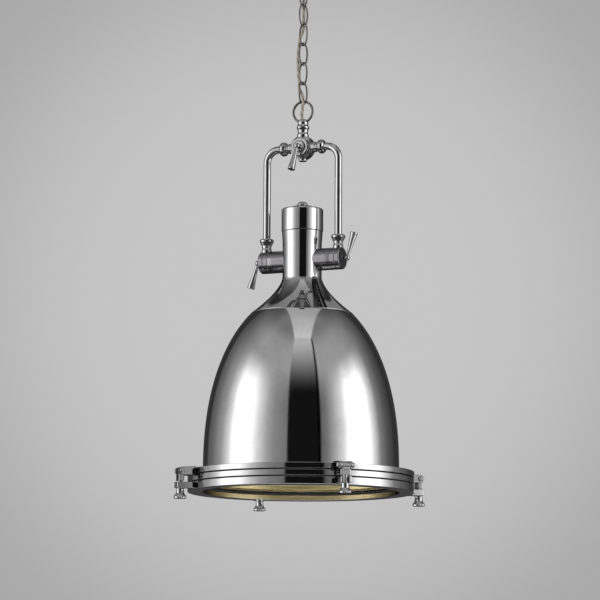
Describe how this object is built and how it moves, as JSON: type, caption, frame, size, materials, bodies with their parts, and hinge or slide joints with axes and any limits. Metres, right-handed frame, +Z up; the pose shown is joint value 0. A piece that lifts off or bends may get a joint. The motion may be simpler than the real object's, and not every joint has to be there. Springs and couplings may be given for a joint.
{
  "type": "pendant lamp",
  "caption": "Bell-shaped chrome pendant lamp on a chain and tube yoke, with tilt pivots, lever handles and a clamped glass bezel.",
  "frame": {"origin": "middle of the ceiling bracket's top face, which sits flat against the ceiling", "axes": "+Z up; X along the yoke's pivots; -Y toward the hub's lever"},
  "size_m": [0.36, 0.36, 0.89],
  "materials": {
    "chrome": "mirror polished",
    "chromed_aluminium": "spun or cast, polished and chrome plated",
    "zinc_steel": "zinc plated",
    "clear_cord": "clear sheath over twisted leads",
    "lead_sleeve": "satin",
    "black_rubber": "matte",
    "white_plastic": "matte",
    "porcelain": "glazed",
    "brass": "satin",
    "glass": "clear, polished"
  },
  "bodies": {
    "ceiling": {"ceiling_bracket": "zinc_steel", "canopy_cup": "chrome", "canopy_loop": "chrome", "cord_grip": "black_rubber", "supply_cord": "clear_cord"},
    "link_1": {"chain_link_1": "chrome"},
    "link_2": {"chain_link_2": "chrome"},
    "link_3": {"chain_link_3": "chrome"},
    "link_4": {"chain_link_4": "chrome"},
    "link_5": {"chain_link_5": "chrome"},
    "link_6": {"chain_link_6": "chrome"},
    "ring": {"suspension_ring": "chrome"},
    "hanger": {"hub_body": "chrome", "hub_collar": "chrome", "hub_face": "chrome", "hub_fitting_left": "chrome", "hub_fitting_right": "chrome", "yoke_tube_left": "chrome", "yoke_tube_right": "chrome", "leg_collar_left": "chrome", "leg_collar_right": "chrome", "pivot_barrel_left": "chrome", "pivot_barrel_right": "chrome", "hub_terminal": "white_plastic", "inner_lead": "lead_sleeve"},
    "hub_handle": {"hub_lever": "chrome"},
    "left_handle": {"pivot_lever_left": "chrome"},
    "right_handle": {"pivot_lever_right": "chrome"},
    "shade": {"neck_casting": "chromed_aluminium", "neck_cap": "chromed_aluminium", "cap_button": "chrome", "trunnion_left": "chromed_aluminium", "trunnion_right": "chromed_aluminium", "shade_bell": "chromed_aluminium", "rim_flange": "chromed_aluminium", "seat_ring": "chromed_aluminium", "bezel": "chromed_aluminium", "gasket": "black_rubber", "lens_glass": "glass", "lampholder": "porcelain", "bulb_screw": "brass", "bulb_glass": "glass", "clamp_lug_1": "chrome", "clamp_lug_2": "chrome", "clamp_lug_3": "chrome", "clamp_lug_4": "chrome", "clamp_pin_1": "chrome", "clamp_pin_2": "chrome", "clamp_pin_3": "chrome", "clamp_pin_4": "chrome"},
    "swing_bolt_1": {"clamp_bolt_1": "chrome"},
    "swing_bolt_2": {"clamp_bolt_2": "chrome"},
    "swing_bolt_3": {"clamp_bolt_3": "chrome"},
    "swing_bolt_4": {"clamp_bolt_4": "chrome"},
    "nut_1": {"clamp_nut_1": "chrome"},
    "nut_2": {"clamp_nut_2": "chrome"},
    "nut_3": {"clamp_nut_3": "chrome"},
    "nut_4": {"clamp_nut_4": "chrome"}
  },
  "joints": [
    {"name": "link_1_swing", "type": "hinge", "parent": "ceiling", "child": "link_1", "pos_m": [0, 0, -0.0542], "axis": [0.3746, 0.9272, 0], "range_deg": [-25, 25], "deforming": ["supply_cord"]},
    {"name": "link_2_swing", "type": "hinge", "parent": "link_1", "child": "link_2", "pos_m": [0, 0, -0.0859], "axis": [-0.9272, 0.3746, 0], "range_deg": [-25, 25]},
    {"name": "link_3_swing", "type": "hinge", "parent": "link_2", "child": "link_3", "pos_m": [0, 0, -0.1181], "axis": [-0.3746, -0.9272, 0], "range_deg": [-25, 25]},
    {"name": "link_4_swing", "type": "hinge", "parent": "link_3", "child": "link_4", "pos_m": [0, 0, -0.1503], "axis": [0.9272, -0.3746, 0], "range_deg": [-25, 25]},
    {"name": "link_5_swing", "type": "hinge", "parent": "link_4", "child": "link_5", "pos_m": [0, 0, -0.1825], "axis": [0.3746, 0.9272, 0], "range_deg": [-25, 25]},
    {"name": "link_6_swing", "type": "hinge", "parent": "link_5", "child": "link_6", "pos_m": [0, 0, -0.2147], "axis": [-0.9272, 0.3746, 0], "range_deg": [-25, 25]},
    {"name": "ring_swing", "type": "hinge", "parent": "link_6", "child": "ring", "pos_m": [0, 0, -0.2469], "axis": [-0.3746, -0.9272, 0], "range_deg": [-25, 25]},
    {"name": "hanger_swing", "type": "hinge", "parent": "ring", "child": "hanger", "pos_m": [0, 0, -0.27705], "axis": [1, 0, 0], "range_deg": [-15, 15]},
    {"name": "hub_lever_turn", "type": "hinge", "parent": "hanger", "child": "hub_handle", "pos_m": [0, -0.0216, -0.31895], "axis": [0, -1, 0], "range_deg": [-90, 90]},
    {"name": "left_lever_turn", "type": "hinge", "parent": "hanger", "child": "left_handle", "pos_m": [-0.079, 0, -0.50235], "axis": [-1, 0, 0], "range_deg": [-90, 90]},
    {"name": "right_lever_turn", "type": "hinge", "parent": "hanger", "child": "right_handle", "pos_m": [0.079, 0, -0.50235], "axis": [1, 0, 0], "range_deg": [-90, 90]},
    {"name": "shade_tilt", "type": "hinge", "parent": "hanger", "child": "shade", "pos_m": [0, 0, -0.50235], "axis": [1, 0, 0], "range_deg": [-90, 90], "deforming": ["inner_lead"]},
    {"name": "clamp_1_swing", "type": "hinge", "parent": "shade", "child": "swing_bolt_1", "pos_m": [0.14213, 0.14213, -0.84645], "axis": [0.7071, -0.7071, 0], "range_deg": [0, 90]},
    {"name": "clamp_2_swing", "type": "hinge", "parent": "shade", "child": "swing_bolt_2", "pos_m": [-0.14213, 0.14213, -0.84645], "axis": [0.7071, 0.7071, 0], "range_deg": [0, 90]},
    {"name": "clamp_3_swing", "type": "hinge", "parent": "shade", "child": "swing_bolt_3", "pos_m": [-0.14213, -0.14213, -0.84645], "axis": [-0.7071, 0.7071, 0], "range_deg": [0, 90]},
    {"name": "clamp_4_swing", "type": "hinge", "parent": "shade", "child": "swing_bolt_4", "pos_m": [0.14213, -0.14213, -0.84645], "axis": [-0.7071, -0.7071, 0], "range_deg": [0, 90]},
    {"name": "nut_1_slide", "type": "slide", "parent": "swing_bolt_1", "child": "nut_1", "axis": [0, 0, -1], "range_m": [0, 0.006]},
    {"name": "nut_2_slide", "type": "slide", "parent": "swing_bolt_2", "child": "nut_2", "axis": [0, 0, -1], "range_m": [0, 0.006]},
    {"name": "nut_3_slide", "type": "slide", "parent": "swing_bolt_3", "child": "nut_3", "axis": [0, 0, -1], "range_m": [0, 0.006]},
    {"name": "nut_4_slide", "type": "slide", "parent": "swing_bolt_4", "child": "nut_4", "axis": [0, 0, -1], "range_m": [0, 0.006]}
  ]
}
